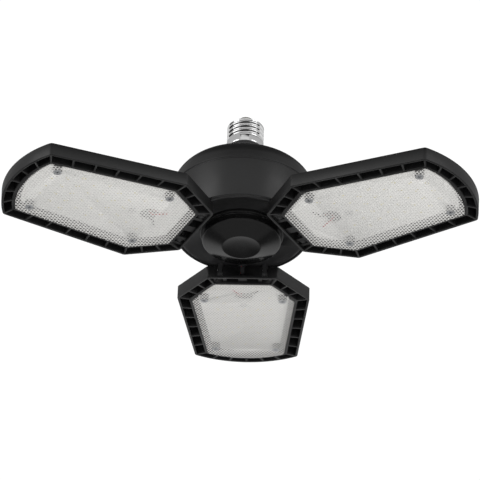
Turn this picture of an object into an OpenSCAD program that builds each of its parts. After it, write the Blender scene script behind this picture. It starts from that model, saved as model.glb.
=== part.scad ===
// Deformable garage light: a screw-in hub that carries three folding LED panels.
// Millimetres. The origin is on the lamp's axis at the foot of the screw shell, +Z towards the holder.
// Panels are drawn level, pointing along +X, and are then tilted and turned into place.

/* [Screw cap] */
// Radius over the crests of the thread
thread_r = 13.1; // [12.8:0.05:13.3]
// Distance from one crest to the next
thread_pitch = 3.63; // [3.4:0.01:3.8]
// Height from crest to root
thread_depth = 1.1; // [0.7:0.05:1.3]
// Number of crests above the smooth collar
thread_turns = 4; // [3:1:4]
// Sheet thickness of the metal shell
shell_wall = 0.4; // [0.3:0.05:0.6]
// Height of the smooth collar under the thread
collar_h = 4.7; // [3:0.1:6]
// Radius of the opening at the top of the shell
mouth_r = 8.6; // [7.5:0.1:9.5]
// Height of the shoulder that closes in to the opening
shoulder_h = 2.2; // [1.5:0.1:3]
// Height of the insulator above the shell
insulator_h = 4.2; // [2:0.1:5]
// Radius of the centre contact
contact_r = 5.6; // [4:0.1:6]
// Height of the centre contact's crown
contact_h = 2.2; // [1.4:0.1:3]

/* [Top cover] */
// Radius of the hub at its widest, at the seam
seam_r = 50.7; // [48:0.1:54]
// Height of the seam below the screw shell
seam_drop = 44; // [42:0.5:48]
// Height of the upright side above the seam
cover_side_h = 5.2; // [3:0.1:7]
// Radius of the rounded shoulder
cover_shoulder_r = 15; // [10:0.5:18]
// Slope of the crown, in degrees
crown_slope = 12; // [6:1:18]
// Radius of the neck under the screw shell
neck_r = 12.8; // [12:0.1:13]
// Wall of the top cover and the housing
case_wall = 2; // [1.6:0.1:2.6]
// Radius of the passage through the neck
neck_bore_r = 8.2; // [6:0.1:8.6]
// Depth of the two grooves round the neck
neck_groove = 0.5; // [0.3:0.1:0.8]

/* [Housing] */
// Radius of the hub at its lower rim
rim_r = 46.6; // [44:0.1:48]
// Distance from the seam down to the lower rim
housing_h = 28.3; // [26:0.1:32]
// Depth of the shadow groove at the seam
seam_groove = 0.5; // [0.3:0.1:0.8]

/* [Hinge plate] */
// Width of the housing's lip round the hinge plate
lip_w = 1.4; // [1.2:0.1:1.8]
// Thickness of the hinge plate
plate_t = 3.2; // [2.8:0.1:4]
// Width of the ring outside the shallow recess in its underside
ring_w = 3; // [2.4:0.1:8]
// Depth of that recess
recess_d = 0.8; // [0.4:0.1:1]
// Radius of the hole for the centre cover's collar
collar_hole_r = 12.4; // [10:0.1:14]
// Distance of the long case screws from the axis
case_screw_at = 22; // [19:0.5:24]
// Distance of the driver board's posts from the axis
post_at = 31; // [28:0.5:31.5]
// Radius of the driver board's posts
post_r = 3; // [2.6:0.1:3.4]

/* [Centre cover] */
// Radius of the centre cover
cover_r = 28.8; // [27:0.1:31]
// Drop of the cover's rim below the recess
cover_rim_h = 2.3; // [1.6:0.1:3]
// Radius of the body's upright wall, inside the rim
wall_r = 26.8; // [25:0.1:27.2]
// Radius of the rounded edge at which the wall meets the cone
edge_r = 27.3; // [25.5:0.1:27.8]
// Drop of that edge below the rim
edge_drop = 5.3; // [4:0.1:6.5]
// Radius of the button in the middle
button_r = 13.1; // [11:0.1:15]
// Drop of the button's face below the rim of the cover
button_drop = 9.8; // [7:0.1:11]
// Height of the button's upright edge
button_edge = 1.3; // [0.8:0.1:2]
// Wall of the centre cover
cover_wall = 1.8; // [1.4:0.1:2.2]

/* [Panel outline] */
// Length of the near end beyond the hinge pins
end_over = 4.5; // [4.3:0.1:5]
// Half width at the near end
start_half = 24.7; // [23:0.1:28]
// Length of the part that widens
slant_l = 31.8; // [28:0.1:36]
// Half width at the widest corners
wide_half = 47.2; // [44:0.1:50]
// Length from the widest corners to the tip corners
side_l = 94.7; // [85:0.1:105]
// Half width at the tip corners
tip_half = 38.3; // [35:0.1:41]
// Distance from the tip corners to the end of the rounded tip
tip_bulge = 11.9; // [8:0.1:14]
// Radius of the six corners
corner_r = 3; // [1.5:0.1:4]

/* [Panel frame] */
// Height of the frame's wall
frame_h = 9.1; // [8.6:0.1:10]
// Wall on the outside of the ring of cells
outer_wall = 1.6; // [1.2:0.1:2.2]
// Wall between the cells and the light window
inner_wall = 2; // [1.4:0.1:2.6]
// Width of the ring of cells along the sides
ring_side = 10.2; // [9:0.1:11]
// Width of the ring at the near end
ring_start = 11; // [10.5:0.1:12]
// Width of the ring at the tip
ring_tip = 9; // [8:0.1:10]
// Depth of the cells
cell_depth = 7; // [5:0.1:7.5]
// Depth of the hinge lugs' faces below the frame's rim
lug_sink = 1.2; // [0.4:0.1:1.4]
// Thickness of the ribs between the cells
rib_t = 1.3; // [1:0.1:1.8]
// Cells along each long side
side_cells = 6; // [4:1:8]
// Cells along each slanted side
slant_cells = 3; // [2:1:4]
// Cells round the tip
tip_cells = 6; // [4:1:8]
// Depth of the light box, from the rim to its floor
box_depth = 5.2; // [4.8:0.1:5.6]
// Thickness of the floor behind the LED board
floor_t = 1.6; // [1.4:0.1:1.9]
// Height of the cooling fins above the frame's wall
fin_rise = 4.6; // [3:0.1:5]
// Thickness of a cooling fin
fin_t = 1.6; // [1.2:0.1:2]
// Distance between cooling fins
fin_pitch = 6.4; // [5:0.1:9]
// Distance from the panel's near end to the fins
fin_from = 19; // [18:0.5:24]

/* [Lens and LED board] */
// Height of the lens above the frame's rim
lens_proud = 0.8; // [0.4:0.1:1.2]
// Thickness of the lens
lens_t = 1.6; // [1.4:0.1:1.8]
// Distance from the light window's wall to the LED board
board_in = 4; // [2:0.1:4.6]
// Thickness of the LED board
board_t = 1.5; // [1:0.1:1.6]
// Clearance round the lens and the board
seat_gap = 0.2; // [0.1:0.05:0.4]
// Length of an LED package
led_l = 3.5; // [2.8:0.1:4]
// Width of an LED package
led_w = 2.8; // [2:0.1:3]
// Height of an LED package
led_h = 0.7; // [0.5:0.05:0.8]
// Distance between LED packages
led_pitch = 9.5; // [8:0.1:14]
// Distance of the inner lens screws beyond the widest corners
near_screw_on = 3.2; // [2:0.1:8]
// Distance of the inner lens screws in from the sides
near_screw_in = 19.2; // [18:0.1:22]
// Distance of the outer lens screws short of the tip corners
far_screw_short = 12; // [10:0.1:16]
// Distance of the outer lens screws in from the sides
far_screw_in = 15.9; // [15:0.1:19]
// Distance from the widest corners to the middle of the cable hole
cable_hole_on = 4.2; // [2:0.1:8]
// Radius of the cable hole's round side
cable_hole_r = 7.2; // [5:0.1:8]
// Thickness of the cap over the cable hole, on the panel's back
cable_cap_t = 1.2; // [0.8:0.1:2]
// Distance of the red lead's pad back from the cable hole's middle
red_pad_back = 10.3; // [9.8:0.1:11]
// Distance of the red lead's pad from the panel's middle line
red_pad_side = 7.4; // [6.5:0.1:9]
// Distance of the black lead's pad back from the cable hole's middle
black_pad_back = 9; // [8.5:0.1:10]
// Distance of the black lead's pad from the panel's middle line
black_pad_side = 10.4; // [9:0.1:11]
// Distance from the cable hole to the LED board's own screw
board_screw_on = 13.3; // [12:0.1:20]

/* [Screws] */
// Shank radius of the lens, board and case screws
screw_r = 1.5; // [1.2:0.1:1.6]
// Head radius of those screws
head_r = 2.8; // [2.6:0.1:3.2]
// Height of a screw head
head_h = 1.2; // [1:0.1:1.4]
// Clearance of a screw in its hole
screw_gap = 0.2; // [0.1:0.05:0.3]
// Length of a case screw's thread in its post
case_grip = 9; // [6:0.5:14]
// Length of a driver or board screw's thread
short_grip = 4; // [3:0.1:4.5]

/* [Hinges] */
// Distance from the hinge plate's edge to the hinge pins
pin_in = 5.5; // [5:0.1:6]
// Radius of the hinge pins
pin_r = 1.5; // [1.2:0.05:1.8]
// Running clearance of the ears on the pins
pin_gap = 0.05; // [0.02:0.01:0.1]
// Distance from the panel's middle line to the middle of an ear
ear_mid = 15.7; // [15.5:0.1:16]
// Thickness of an ear
ear_t = 2.8; // [2.4:0.1:3]
// Radius of an ear round its pin
ear_r = 3.2; // [3:0.1:3.3]
// Thickness of a friction washer
washer_t = 0.5; // [0.3:0.05:0.6]
// Thickness of the lug on each side of an ear
lug_t = 2.5; // [2:0.1:2.8]
// Space between parts that move past each other
move_gap = 0.4; // [0.3:0.05:0.5]
// Tilt of the left and right panels, tip down, in degrees
side_tilt = 3.8; // [0:0.1:20]
// Tilt of the back panel, tip down, in degrees
back_tilt = -7; // [-10:0.5:20]

/* [Driver] */
// Space between the driver board's edge and the hinge pins' circle
driver_in = 1.5; // [1.4:0.1:3]
// Height of the driver board above the hinge plate
driver_up = 9; // [7:0.5:12]
// Thickness of the driver board
driver_t = 1.6; // [1:0.1:2]
// Radius of the bulk capacitors
bulk_r = 5; // [4:0.1:5.2]
// Height of the bulk capacitors
bulk_h = 20; // [16:0.5:22]
// Width of the transformer core
core_w = 24; // [20:0.5:26]
// Depth of the transformer core
core_d = 14; // [12:0.5:16]
// Height of the transformer core
core_h = 19; // [16:0.5:22]
// Width of the core's legs
core_leg = 4.5; // [3.5:0.1:5]
// Length of the film capacitor
film_l = 15; // [12:0.5:16]
// Height of the film capacitor
film_h = 12; // [9:0.5:14]
// Mean radius of the choke's ring
choke_r = 4.8; // [4:0.1:5.4]
// Radius of the choke's winding
choke_t = 2.1; // [1.6:0.1:2.4]
// Length of the bridge rectifier
bridge_l = 14; // [10:0.5:15]
// Height of the bridge rectifier
bridge_h = 10; // [7:0.5:12]
// Height of the switching transistor
transistor_h = 14; // [10:0.5:16]
// Length of the fuse resistor
fuse_l = 11; // [8:0.5:12]
// Radius of an insulated wire
wire_r = 0.65; // [0.5:0.05:0.7]

/* [Hidden] */

$fn = 64;
hair = 0.02;
bend_bulge = 0.04;
eps = 0.5;
back_az = 90;
left_az = 210;
right_az = 330;
panel_az = [back_az, left_az, right_az];
gap_az = [30, 150, 270];
black = "#26272a";
steel = "#c9ccd0";

// Heights of the screw cap, from the foot of the shell upwards
thread_top = collar_h + thread_turns * thread_pitch;
shell_top = thread_top + shoulder_h;
insulator_top = shell_top + insulator_h;
core_r = thread_r - thread_depth - shell_wall - 0.05;

// Heights of the hub, all below the screw shell
seam_z = -seam_drop;
shoulder_z = seam_z + cover_side_h;
cover_side_r = seam_r - 0.7;
under_z = seam_z - housing_h;
seat_r = rim_r - lip_w;
plate_r = seat_r - seat_gap;
recess_r = plate_r - ring_w;
hinge_at = plate_r - pin_in;
driver_r = hinge_at - driver_in;
plate_top = under_z + plate_t;
recess_z = under_z + recess_d;
cover_rim_z = recess_z - cover_rim_h;
button_z = cover_rim_z - button_drop;
crown_in_r = cover_side_r - cover_shoulder_r + cover_shoulder_r * sin(crown_slope);
crown_in_z = shoulder_z + cover_shoulder_r * cos(crown_slope);
crown_top_z = crown_in_z + (crown_in_r - neck_r - 2) * tan(crown_slope);
driver_z = plate_top + driver_up;
driver_top = driver_z + driver_t;
case_post_r = screw_r + 2.2;

// Lengths of a panel, from the lamp's axis outwards
panel_start = hinge_at - end_over;
wide_at = panel_start + slant_l;
tip_at = wide_at + side_l;
near_screw_at = wide_at + near_screw_on;
near_screw_half = wide_half - near_screw_in;
far_screw_at = tip_at - far_screw_short;
far_screw_half = tip_half - far_screw_in;
cable_hole_at = wide_at + cable_hole_on;
board_screw_at = cable_hole_at + board_screw_on;
fin_start = panel_start + fin_from;

// Heights of a panel, with its rim towards the light
hinge_drop = frame_h / 2;
rim_z = under_z - frame_h - 2.7;
hinge_z = rim_z + hinge_drop;
frame_top = rim_z + frame_h;
floor_z = rim_z + box_depth;
floor_top = floor_z + floor_t;
fin_top = frame_top + fin_rise;
lens_z = rim_z - lens_proud;
lens_back = lens_z + lens_t;
board_z = floor_z - board_t;
ear_lo = ear_mid - ear_t / 2;
ear_hi = ear_mid + ear_t / 2;
channel_top = floor_top + 2 * wire_r + 0.3;
cap_grow = 1.5;
cap_start = cable_hole_at - 0.75 * (cable_hole_r + cap_grow);
slot_lo = ear_lo - washer_t - 0.1;
slot_hi = ear_hi + washer_t + 0.1;
pin_lo = slot_lo - lug_t;
pin_hi = slot_hi + lug_t;
lead_slot = 2.1;
slot_gap = 0.12;
stop_room = 0.9;
lead_side = 1.1;
lead_r_hole = lead_side + wire_r + 0.6;

// ---- helpers ----

// Meeting point of two lines, each given as a point and a direction
function meet(p, d, q, e) =
    let (k = d.x * e.y - d.y * e.x, w = q - p)
    p + d * (w.x * e.y - w.y * e.x) / k;

function unit(v) = v / norm(v);
function left_of(v) = [-v.y, v.x];
function lerp(a, b, t) = a + (b - a) * t;

// The rounded tip is part of a circle through both tip corners
tip_arc_r = (tip_half ^ 2 + tip_bulge ^ 2) / (2 * tip_bulge);
tip_arc_at = tip_at + tip_bulge - tip_arc_r;

// Corners of the panel drawn in by s along the sides, a at the near end and t at the tip:
// near, wide and tip corner on the +Y side
function corners(a, s, t) =
    let (slant = unit([wide_at - panel_start, wide_half - start_half]),
        side = unit([tip_at - wide_at, tip_half - wide_half]),
        p = [wide_at, wide_half] - left_of(slant) * s,
        q = [wide_at, wide_half] - left_of(side) * s,
        near = meet(p, slant, [panel_start + a, 0], [0, 1]),
        wide = meet(p, slant, q, side),
        r = tip_arc_r - t,
        c = [tip_arc_at, 0],
        along = (c - q) * side,
        foot = q + side * along,
        off = norm(foot - c),
        tip = foot + side * sqrt(r ^ 2 - off ^ 2))
    [near, wide, tip];

// The same corners carried round as a closed outline with the tip arc in short steps
arc_steps = 24;
function tip_arc(t, tip, n) =
    let (half = atan2(tip.y, tip.x - tip_arc_at), r = tip_arc_r - t)
    [for (i = [1:n - 1]) let (w = -half + 2 * half * i / n)
        [tip_arc_at + r * cos(w), r * sin(w)]];

// One corner b between a and c, rounded with radius r in n steps
function round_corner(a, b, c, r, n) =
    let (u = unit(a - b), v = unit(c - b), half = acos(u * v) / 2,
        centre = b + unit(u + v) * r / sin(half),
        p = b + u * r / tan(half), q = b + v * r / tan(half),
        w0 = atan2(p.y - centre.y, p.x - centre.x),
        turn = 180 - 2 * half)
    [for (i = [0:n]) let (w = w0 + turn * i / n)
        centre + r * [cos(w), sin(w)]];

function outline(a, s, t, r) =
    let (k = corners(a, s, t), arc = tip_arc(t, k[2], arc_steps),
        m = [for (p = k) [p.x, -p.y]], first = arc[0], last = arc[len(arc) - 1])
    concat(
        round_corner(k[0], m[0], m[1], r, 4), round_corner(m[0], m[1], m[2], r, 4),
        round_corner(m[1], m[2], first, r, 4), arc,
        round_corner(last, k[2], k[1], r, 4), round_corner(k[2], k[1], k[0], r, 4),
        round_corner(k[1], k[0], m[0], r, 4));

// Outlines of the frame at its outside, inside the outer wall, outside the box and inside it
function drawn_in(d, r) = outline(d, d, d, r);
function window(extra, r) =
    outline(ring_start + extra, ring_side + extra, ring_tip + extra, r);

module slab(points, low, high) {
    translate([0, 0, low]) linear_extrude(high - low) polygon(points);
}

// A flat bar between two points in the plane
module bar(p, q, thick) {
    side = left_of(unit(q - p)) * thick / 2;
    polygon([p - side, q - side, q + side, p + side]);
}

// Wire along a list of points; a bend is a little thicker than the straight lengths
module wire(points, r) {
    for (i = [0:len(points) - 2]) {
        d = points[i + 1] - points[i];
        translate(points[i]) rotate([0, acos(d.z / norm(d)), atan2(d.y, d.x)])
            cylinder(h = norm(d), r = r, $fn = 24);
    }
    for (i = [1:len(points) - 2]) translate(points[i]) sphere(r = r + bend_bulge, $fn = 24);
}

module at_panel(az, tilt) {
    rotate([0, 0, az]) translate([hinge_at, 0, hinge_z]) rotate([0, tilt, 0])
        translate([-hinge_at, 0, -hinge_z]) children();
}

// Cylinder lying across the panel, along its Y axis
module across(at, low, high, r) {
    translate([at, low, hinge_z]) rotate([-90, 0, 0]) cylinder(h = high - low, r = r);
}

module both_sides() {
    children();
    mirror([0, 1, 0]) children();
}

// ---- screw cap ----

module centre_contact() {
    z = insulator_top;
    color(steel) rotate_extrude() polygon(concat(
        [[0, z - 1.6], [contact_r * 0.5, z - 1.6], [contact_r * 0.5, z], [contact_r, z]],
        [for (w = [10:10:70]) [contact_r * (0.35 + 0.65 * cos(w)), z + contact_h * sin(w)]],
        [[contact_r * 0.35, z + contact_h], [0, z + contact_h]]));
}

module contact_insulator() {
    low = shell_top - shell_wall;
    color("#e8e6df") rotate_extrude() polygon([
        [contact_r * 0.5, insulator_top - 1.6], [contact_r * 0.5, insulator_top],
        [contact_r + 0.4, insulator_top], [mouth_r - 0.2, shell_top],
        [mouth_r - 0.2, low], [mouth_r + 0.5, low - 0.5], [mouth_r + 0.5, low - 1.2],
        [2, low - 1.2], [2, insulator_top - 1.6]]);
}

// Outside of the rolled thread: an off-centre disc, turned once for each thread as it rises.
// It gives the rounded right-hand thread of a lamp cap.
module thread_form(low, high) {
    off = thread_depth / 2;
    turns = (high - low) / thread_pitch;
    translate([0, 0, low]) linear_extrude(high - low, twist = -360 * turns, slices = ceil(14 * turns))
        translate([off, 0]) circle(r = thread_r - off, $fn = 36);
}

// Height of the shoulder's curve at angle w, as a share of the whole
function shoulder_rise(w) = 0.35 * sin(w) + 0.65 * (1 - cos(w));

module screw_shell() {
    low = thread_top - 0.4;
    brim = thread_r - thread_depth * 0.3;
    color(steel) difference() {
        union() {
            cylinder(h = collar_h, r = thread_r);
            thread_form(collar_h - hair, thread_top);
            rotate_extrude() polygon(concat([[0, low], [brim, low]],
                [for (w = [0:15:90]) [mouth_r + (brim - mouth_r) * cos(w),
                    thread_top + shoulder_h * shoulder_rise(w)]],
                [[0, shell_top]]));
        }
        translate([0, 0, -eps]) cylinder(h = collar_h + eps - 1, r = thread_r - shell_wall);
        translate([0, 0, -eps]) cylinder(h = thread_top + eps, r = core_r + 0.05);
        rotate_extrude() polygon(concat([[0, thread_top - hair], [core_r + 0.05, thread_top - hair]],
            [for (w = [0:15:75]) [mouth_r - shell_wall + (core_r + 0.05 - mouth_r + shell_wall) * cos(w),
                thread_top + (shoulder_h - shell_wall) * shoulder_rise(w)]],
            [[mouth_r, shell_top - shell_wall], [mouth_r, shell_top + 1], [0, shell_top + 1]]));
    }
}

// ---- hub case ----

function cover_skin(in) = concat(
    [for (w = [0:6:90 - crown_slope]) [cover_side_r - cover_shoulder_r
        + (cover_shoulder_r - in) * cos(w), shoulder_z + (cover_shoulder_r - in) * sin(w)]],
    [[crown_in_r - in * sin(crown_slope), crown_in_z - in * cos(crown_slope)]]);

spigot_r = neck_r - 1.4;

// Collar between the dome and the screw shell, pressed into the dome from above
module neck() {
    g = neck_groove;
    foot = crown_top_z - 1.5 * case_wall;
    color(black) rotate_extrude() polygon([
        [neck_bore_r, foot], [spigot_r - 0.05, foot], [spigot_r - 0.05, crown_top_z],
        [neck_r + 1.4, crown_top_z], [neck_r + 0.5, crown_top_z + 0.5],
        [neck_r, crown_top_z + 1.6], [neck_r, -8.4 * g], [neck_r - g, -7.6 * g],
        [neck_r - g, -6.4 * g], [neck_r, -5.6 * g], [neck_r, -4.6 * g],
        [neck_r - g, -3.8 * g], [neck_r - g, -2.6 * g], [neck_r, -1.8 * g], [neck_r, 0],
        [core_r, 0], [core_r, thread_top - 1.4], [neck_bore_r, thread_top - 1.4]]);
}

module top_cover() {
    reach = crown_in_r - case_screw_at - case_post_r;
    post_top = crown_in_z + reach * tan(crown_slope) - case_wall / 2;
    inner = cover_skin(case_wall);
    color(black) difference() {
        union() {
            rotate_extrude() polygon(concat(
                [[seam_r - seam_groove, seam_z], [seam_r - seam_groove, seam_z + 0.5],
                    [seam_r, seam_z + 0.9]], cover_skin(0),
                [[spigot_r, crown_top_z], [spigot_r, crown_top_z - case_wall]],
                [for (i = [len(inner) - 1:-1:0]) inner[i]],
                [[cover_side_r - case_wall, seam_z]]));
            for (w = gap_az) rotate([0, 0, w]) translate([case_screw_at, 0, plate_top])
                cylinder(h = post_top - plate_top, r = case_post_r);
        }
        for (w = gap_az) rotate([0, 0, w]) translate([case_screw_at, 0, plate_top - eps])
            cylinder(h = case_grip + 4, r = screw_r);
    }
}

// The housing's foot holds the hinge plate in a stepped seat
module housing() {
    in_r = seat_r - 1.4;
    color(black) rotate_extrude() polygon([
        [seat_r, under_z], [rim_r - 0.4, under_z], [rim_r, under_z + 0.4],
        [seam_r - 0.1, seam_z - 0.6], [seam_r - seam_groove, seam_z - 0.3],
        [seam_r - seam_groove, seam_z], [cover_side_r - case_wall - 0.6, seam_z],
        [cover_side_r - case_wall - 0.6, seam_z - 3], [in_r, plate_top + 4],
        [in_r, plate_top], [seat_r, plate_top]]);
}

module ear() {
    foot = under_z - 0.2;
    difference() {
        union() {
            translate([hinge_at - ear_r, ear_lo, hinge_z]) cube([2 * ear_r, ear_t, foot - hinge_z]);
            intersection() {
                translate([hinge_at - ear_r, ear_lo, foot - hair])
                    cube([2 * ear_r, ear_t, recess_z + 1 - foot]);
                translate([0, 0, foot - 1]) cylinder(h = plate_t, r = plate_r - 0.7);
            }
            across(hinge_at, ear_lo, ear_hi, ear_r);
            translate([hinge_at - ear_r, slot_lo + slot_gap, hinge_z + ear_r + 0.1])
                cube([2 * ear_r, slot_hi - slot_lo - 2 * slot_gap, foot - hinge_z - ear_r - 0.1]);
        }
        across(hinge_at, ear_lo - eps, ear_hi + eps, pin_r + pin_gap);
    }
}

module hinge_plate() {
    post_h = driver_z - plate_top;
    color(black) {
        difference() {
            union() {
                rotate_extrude() polygon([
                    [collar_hole_r, recess_z], [recess_r - 0.5, recess_z],
                    [recess_r, under_z], [plate_r - 0.6, under_z], [plate_r, under_z + 0.6],
                    [plate_r, plate_top], [collar_hole_r, plate_top]]);
                for (w = gap_az) rotate([0, 0, w + 60]) translate([post_at, 0, plate_top - hair])
                    cylinder(h = post_h + hair, r = post_r);
            }
            for (w = gap_az) rotate([0, 0, w]) translate([case_screw_at, 0, 0]) {
                translate([0, 0, under_z]) cylinder(h = plate_t + eps, r = screw_r + screw_gap);
                translate([0, 0, under_z]) cylinder(h = recess_d + head_h, r = head_r + screw_gap);
            }
            for (w = gap_az) rotate([0, 0, w + 60])
                translate([post_at, 0, driver_z - short_grip - 1])
                    cylinder(h = short_grip + 2, r = screw_r);
            for (w = panel_az) rotate([0, 0, w]) translate([hinge_at, 0, under_z - eps])
                cylinder(h = plate_t + 2 * eps, r = lead_r_hole + 0.8);
        }
        for (w = panel_az) rotate([0, 0, w]) both_sides() ear();
    }
}

// Trim under the hub: a raised rim, then a cone down to the flat button
module centre_cover() {
    collar_r = collar_hole_r - screw_gap;
    cone_z = button_z + button_edge;
    edge_z = cover_rim_z - edge_drop;
    skin = [[cover_r, recess_z], [cover_r, cover_rim_z + 0.4], [cover_r - 0.4, cover_rim_z],
        [wall_r + 0.6, cover_rim_z], [wall_r, cover_rim_z - 0.2], [edge_r, edge_z + 0.5],
        [edge_r - 0.15, edge_z + 0.1], [edge_r - 0.5, edge_z - 0.15],
        [button_r + 1.4, cone_z - 0.9], [button_r + 0.3, cone_z - 0.5],
        [button_r, cone_z - 0.2], [button_r, button_z + 0.5],
        [button_r - 0.5, button_z], [button_r * 0.6, button_z + 0.35], [0, button_z + 0.5]];
    inside = [[0, button_z + cover_wall + 0.5], [button_r - cover_wall, button_z + cover_wall + 0.3],
        [edge_r - cover_wall - 0.3, edge_z + cover_wall],
        [wall_r - cover_wall, cover_rim_z], [wall_r - cover_wall, recess_z]];
    color(black) difference() {
        union() {
            rotate_extrude() polygon(concat(skin, inside));
            rotate_extrude() polygon([[collar_r - 1.6, button_z + cover_wall],
                [collar_r, button_z + cover_wall], [collar_r, plate_top + 0.2],
                [collar_r + 0.6, plate_top + 0.5], [collar_r - 0.4, plate_top + 2.4],
                [collar_r - 1.6, plate_top + 2.4]]);
        }
        for (w = gap_az) rotate([0, 0, w + 60]) translate([collar_r - 4, -1, recess_z - 1])
            cube([6, 2, 8]);
    }
}

// Countersunk or pan-headed screw pointing up from its head
module screw_up(length, flush) {
    cylinder(h = length, r = screw_r - 0.05, $fn = 24);
    if (flush) cylinder(h = head_h, r1 = head_r, r2 = screw_r - 0.05, $fn = 32);
    else cylinder(h = head_h, r = head_r, $fn = 32);
}

module case_screws() {
    color(steel) for (w = gap_az) rotate([0, 0, w])
        translate([case_screw_at, 0, recess_z]) screw_up(plate_t - recess_d + case_grip, false);
}

// ---- driver ----

module driver_board() {
    color("#2f6b3c") difference() {
        translate([0, 0, driver_z]) cylinder(h = driver_t, r = driver_r);
        for (w = gap_az) rotate([0, 0, w]) translate([case_screw_at, 0, driver_z - eps])
            cylinder(h = driver_t + 2 * eps, r = case_post_r + 0.5);
        for (w = gap_az) rotate([0, 0, w + 60]) translate([post_at, 0, driver_z - eps])
            cylinder(h = driver_t + 2 * eps, r = screw_r + screw_gap);
    }
}

module driver_screws() {
    color(steel) for (w = gap_az) rotate([0, 0, w + 60])
        translate([post_at, 0, driver_top + head_h]) mirror([0, 0, 1])
            screw_up(head_h + driver_t + short_grip, false);
}

winding_r = core_w / 2 - core_leg - 0.4;

module transformer_core() {
    color("#3b3b3f") translate([-core_w / 2, -core_d / 2, driver_top]) difference() {
        cube([core_w, core_d, core_h]);
        translate([core_leg, -eps, core_leg])
            cube([core_w - 2 * core_leg, core_d + 2 * eps, core_h - 2 * core_leg]);
    }
}

module transformer_winding() {
    color("#d9b43c") translate([0, 0, driver_top + core_leg])
        cylinder(h = core_h - 2 * core_leg, r = winding_r);
}

bulk_x = core_w / 2 + bulk_r + 2.5;
bulk_at = [[-bulk_x, -2, driver_top], [-bulk_x - 2 * bulk_r - 0.9, 0.5, driver_top]];

module bulk_capacitors() {
    color("#1c2d55") for (p = bulk_at) translate(p) rotate_extrude() polygon([
        [0, 0], [bulk_r, 0], [bulk_r, 1.4], [bulk_r - 0.5, 2], [bulk_r, 2.6],
        [bulk_r, bulk_h - 0.6], [bulk_r - 0.6, bulk_h], [0, bulk_h]]);
}

module film_capacitor() {
    color("#c8a13a") translate([core_w / 2 + 3.5, -film_l, driver_top])
        cube([film_l / 2, film_l, film_h]);
}

module line_choke() {
    color("#8c5a2b") translate([core_w / 2 + film_l / 2 + 9.5, 2, driver_top + choke_r + choke_t + 0.2])
        rotate([90, 0, 100]) rotate_extrude() translate([choke_r, 0])
            circle(r = choke_t, $fn = 24);
}

module bridge_rectifier() {
    color("#1f1f21") translate([-bridge_l / 2, -driver_r + 5, driver_top])
        cube([bridge_l, 4, bridge_h]);
}

module switching_transistor() {
    color("#2a2a2c") translate([-driver_r / 2, -driver_r / 2, driver_top])
        cube([transistor_h / 3, transistor_h * 0.7, transistor_h]);
}

module fuse_resistor() {
    color("#5f8f6a") translate([live_foot.x - fuse_l - 2.5, live_foot.y, driver_top + fuse_l / 5 + 0.1])
        rotate([0, 90, 0]) cylinder(h = fuse_l, r = fuse_l / 5, $fn = 32);
}

neutral_foot = [-driver_r / 20, driver_r * 0.67, driver_top];
live_foot = [driver_r * 0.46, driver_r * 0.63, driver_top];
wire_bend = bulk_h * 0.4;

module live_wire() {
    in = neck_bore_r * 0.35;
    color("#8a1f1f") wire([[0, 0, insulator_top - contact_h - 0.2], [0, 0, collar_h],
        [in, in, crown_top_z - 3 * case_wall],
        [live_foot.x * 0.75, live_foot.y * 0.8, crown_top_z - 7 * case_wall],
        live_foot + [0, 0, wire_bend], live_foot], wire_r);
}

module neutral_wire() {
    reach = neck_bore_r - wire_r - 0.3;
    color("#dcdcdc") wire([[0, reach, thread_top - 2.2], [0, reach, crown_top_z - 3 * case_wall],
        [neutral_foot.x, neutral_foot.y * 0.6, crown_top_z - 6 * case_wall],
        neutral_foot + [0, 0, wire_bend], neutral_foot], wire_r);
}

// Output leads leave the board's edge and drop through the bushes to the hinge pins' height
module output_lead(side) {
    foot = driver_z + driver_t + 3;
    for (w = panel_az) rotate([0, 0, w]) wire([
        [driver_r - 8, side * 5, driver_top], [driver_r - 8, side * 5, foot],
        [hinge_at, side * lead_side, foot - 2.4], [hinge_at, side * lead_side, hinge_z + 1.2]],
        wire_r);
}

module red_output_leads() {
    color("#b3202a") output_lead(1);
}

module black_output_leads() {
    color("#202022") output_lead(-1);
}

module lead_bushes() {
    color("#333336") for (w = panel_az) rotate([0, 0, w]) translate([hinge_at, 0, 0])
        difference() {
            union() {
                translate([0, 0, under_z - 0.3]) cylinder(h = plate_t + 0.9, r = lead_r_hole + 0.75);
                translate([0, 0, plate_top]) cylinder(h = 1, r = lead_r_hole + 1.8);
            }
            for (s = [-1, 1]) translate([0, s * lead_side, under_z - 1])
                cylinder(h = plate_t + 3, r = wire_r + 0.05, $fn = 24);
        }
}

// ---- panel ----

// Ribs stand between matching points of the outer and the inner outline
module ribs() {
    o = corners(0, 0, 0);
    i = corners(ring_start, ring_side, ring_tip);
    both_sides() {
        for (k = [0:slant_cells])
            bar(lerp(o[0], o[1], k / slant_cells), lerp(i[0], i[1], k / slant_cells), rib_t);
        for (k = [1:side_cells])
            bar(lerp(o[1], o[2], k / side_cells), lerp(i[1], i[2], k / side_cells), rib_t);
    }
    wo = atan2(o[2].y, o[2].x - tip_arc_at);
    wi = atan2(i[2].y, i[2].x - tip_arc_at);
    for (k = [1:tip_cells - 1]) {
        f = 2 * k / tip_cells - 1;
        bar([tip_arc_at, 0] + tip_arc_r * [cos(wo * f), sin(wo * f)],
            [tip_arc_at, 0] + (tip_arc_r - ring_tip) * [cos(wi * f), sin(wi * f)], rib_t);
    }
}

// Solid blocks at the near end, one each side of an ear, and one round the leads
module lug_blocks() {
    both_sides() {
        translate([panel_start, pin_lo]) square([ring_start, lug_t]);
        translate([panel_start, slot_hi]) square([ring_start, lug_t]);
    }
    translate([panel_start, -lead_slot - 0.9]) square([ring_start, 2 * lead_slot + 1.8]);
}

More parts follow.
